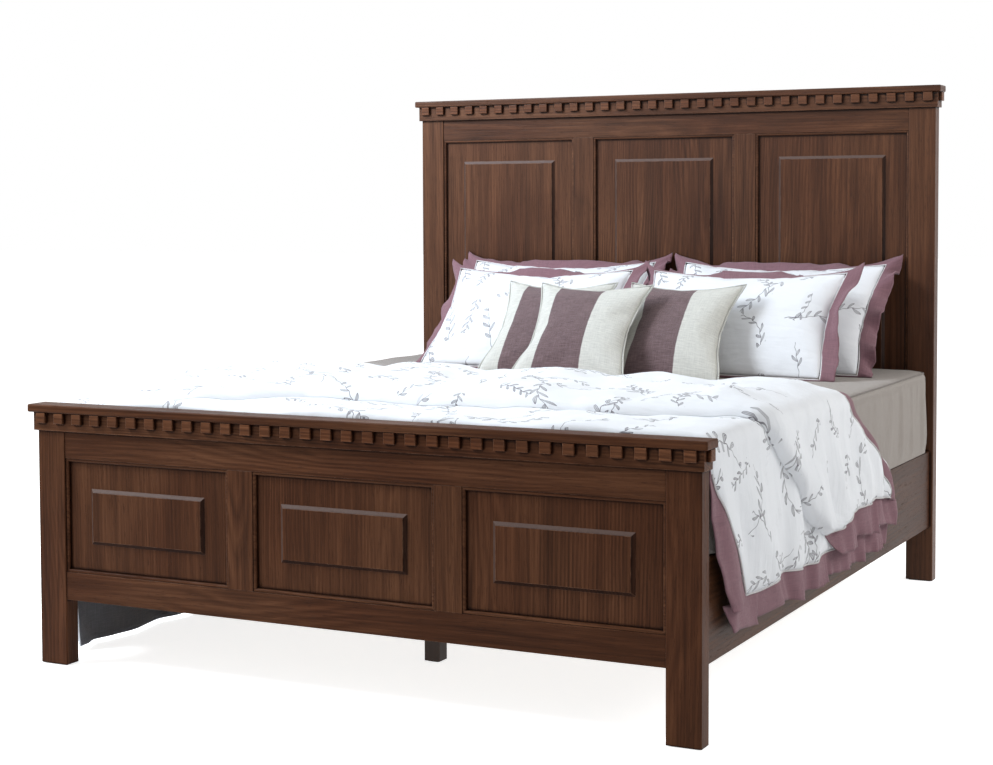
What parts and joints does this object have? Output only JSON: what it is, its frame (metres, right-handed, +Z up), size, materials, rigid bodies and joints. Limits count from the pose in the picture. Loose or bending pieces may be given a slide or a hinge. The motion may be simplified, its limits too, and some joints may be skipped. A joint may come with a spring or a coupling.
{
  "type": "panel bed",
  "caption": "Stained oak panel bed with dentil cornices on headboard and footboard, slatted base, mattress, patterned duvet and pillows.",
  "frame": {"origin": "on the floor, in the middle of the bed's bounding box", "axes": "+Z up, -Y towards the footboard, +Y towards the headboard, +X to the right seen from the foot"},
  "size_m": [1.9, 2.166, 1.588],
  "materials": {
    "stained_oak": "dark walnut stain under satin lacquer, worn lighter on the edges",
    "pine": "planed, unfinished",
    "zinc_steel": "zinc plated",
    "glide_plastic": "matt",
    "mattress_ticking": "woven ticking",
    "sheet_cotton": "plain weave cotton, beige grey",
    "sham_cotton": "white cotton with thin grey sprigs and a mauve flange",
    "throw_fabric": "cream weave with a plum slub band",
    "duvet_cotton": "white cotton with thin grey sprigs, mauve flange and piping"
  },
  "bodies": {
    "bed_frame": {"footboard_post_left": "stained_oak", "footboard_post_right": "stained_oak", "footboard_top_rail": "stained_oak", "footboard_bottom_rail": "stained_oak", "footboard_mullion_left": "stained_oak", "footboard_mullion_right": "stained_oak", "footboard_panel_left": "stained_oak", "footboard_panel_centre": "stained_oak", "footboard_panel_right": "stained_oak", "footboard_panel_beads": "stained_oak", "footboard_frieze": "stained_oak", "footboard_dentils": "stained_oak", "footboard_cap": "stained_oak", "headboard_post_left": "stained_oak", "headboard_post_right": "stained_oak", "headboard_top_rail": "stained_oak", "headboard_bottom_rail": "stained_oak", "headboard_mullion_left": "stained_oak", "headboard_mullion_right": "stained_oak", "headboard_panel_left": "stained_oak", "headboard_panel_centre": "stained_oak", "headboard_panel_right": "stained_oak", "headboard_panel_beads": "stained_oak", "headboard_frieze": "stained_oak", "headboard_dentils": "stained_oak", "headboard_cap": "stained_oak", "post_glides": "glide_plastic", "centre_legs": "pine", "centre_leg_glides": "glide_plastic", "rail_hook_plates": "zinc_steel", "post_slot_plates": "zinc_steel", "side_rail_left": "stained_oak", "side_rail_right": "stained_oak", "slat_cleat_left": "pine", "slat_cleat_right": "pine", "slats": "pine", "centre_beam": "pine", "beam_bracket_foot": "zinc_steel", "beam_bracket_head": "zinc_steel"},
    "mattress": {"mattress": "mattress_ticking", "fitted_sheet": "sheet_cotton", "sham_rear_left": "sham_cotton", "sham_rear_right": "sham_cotton", "sham_front_left": "sham_cotton", "sham_front_right": "sham_cotton", "throw_pillow_left": "throw_fabric", "throw_pillow_middle": "throw_fabric", "throw_pillow_right": "throw_fabric"},
    "duvet": {"duvet": "duvet_cotton"}
  },
  "joints": [
    {"name": "mattress_lift", "type": "slide", "parent": "bed_frame", "child": "mattress", "axis": [0, 0, 1], "range_m": [0, 0.33]},
    {"name": "duvet_lift", "type": "slide", "parent": "mattress", "child": "duvet", "axis": [0, 0, 1], "range_m": [0, 0.5]}
  ]
}
